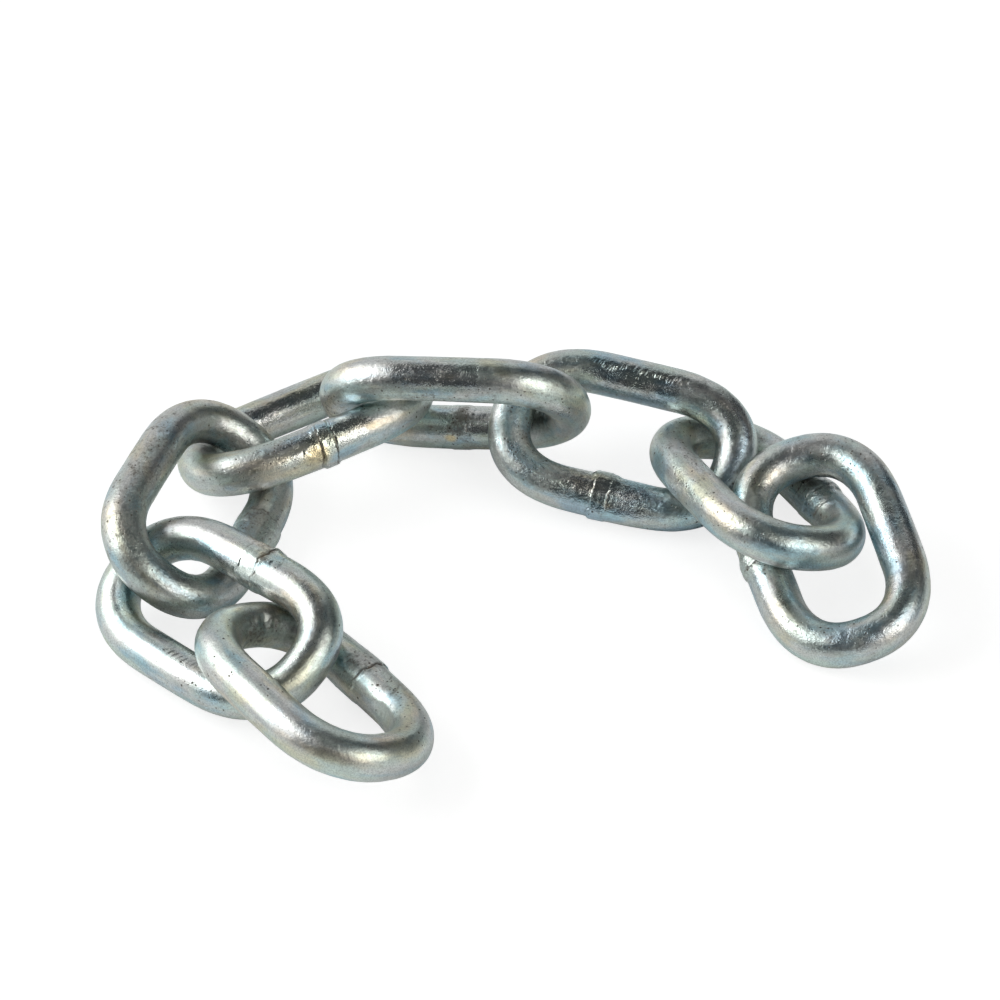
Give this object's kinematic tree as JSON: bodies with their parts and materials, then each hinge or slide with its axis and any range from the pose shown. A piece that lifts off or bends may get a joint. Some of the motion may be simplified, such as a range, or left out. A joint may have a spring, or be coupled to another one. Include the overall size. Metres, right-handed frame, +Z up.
{
  "type": "welded steel chain",
  "caption": "Short length of zinc-plated welded steel chain lying in a loose arch; interlocked round-wire links, each butt-welded on a side bar.",
  "frame": {"origin": "middle of the chain's footprint, on the floor it lies on", "axes": "+X along the span of the arch from the left end to the right end, +Y from the open side towards the top of the arch, +Z up from the floor"},
  "size_m": [0.1456, 0.1098, 0.0301],
  "materials": {
    "zinc_plated_wire": "bright zinc plating over drawn wire, slightly bluish and yellowish, with tool marks and pits"
  },
  "bodies": {
    "link_1": {"link_1": "zinc_plated_wire"},
    "link_2": {"link_2": "zinc_plated_wire"},
    "link_3": {"link_3": "zinc_plated_wire"},
    "link_4": {"link_4": "zinc_plated_wire"},
    "link_5": {"link_5": "zinc_plated_wire"},
    "link_6": {"link_6": "zinc_plated_wire"},
    "link_7": {"link_7": "zinc_plated_wire"},
    "link_8": {"link_8": "zinc_plated_wire"}
  },
  "joints": [
    {"name": "link_4_swing", "type": "hinge", "parent": "link_5", "child": "link_4", "pos_m": [-0.02947, 0.03579, 0.0194], "axis": [0, 0, 1], "range_deg": [0, 40]},
    {"name": "link_3_swing", "type": "hinge", "parent": "link_4", "child": "link_3", "pos_m": [-0.04437, 0.02179, 0.0125], "axis": [0, 0, 1], "range_deg": [-28, 0]},
    {"name": "link_2_swing", "type": "hinge", "parent": "link_3", "child": "link_2", "pos_m": [-0.05117, -0.00191, 0.005], "axis": [0, 0, 1], "range_deg": [-36, 0]},
    {"name": "link_1_swing", "type": "hinge", "parent": "link_2", "child": "link_1", "pos_m": [-0.03797, -0.01401, 0.0101], "axis": [-0.5707, 0.2203, 0.791], "range_deg": [0, 45]},
    {"name": "link_6_swing", "type": "hinge", "parent": "link_5", "child": "link_6", "pos_m": [0.01083, 0.03159, 0.0179], "axis": [0, 0, 1], "range_deg": [0, 75]},
    {"name": "link_7_swing", "type": "hinge", "parent": "link_6", "child": "link_7", "pos_m": [0.03273, 0.03349, 0.0078], "axis": [-0.7122, -0.6019, 0.3611], "range_deg": [0, 60]},
    {"name": "link_8_swing", "type": "hinge", "parent": "link_7", "child": "link_8", "pos_m": [0.04333, 0.00699, 0.0079], "axis": [0.1794, -0.9567, -0.2292], "range_deg": [0, 60]}
  ]
}
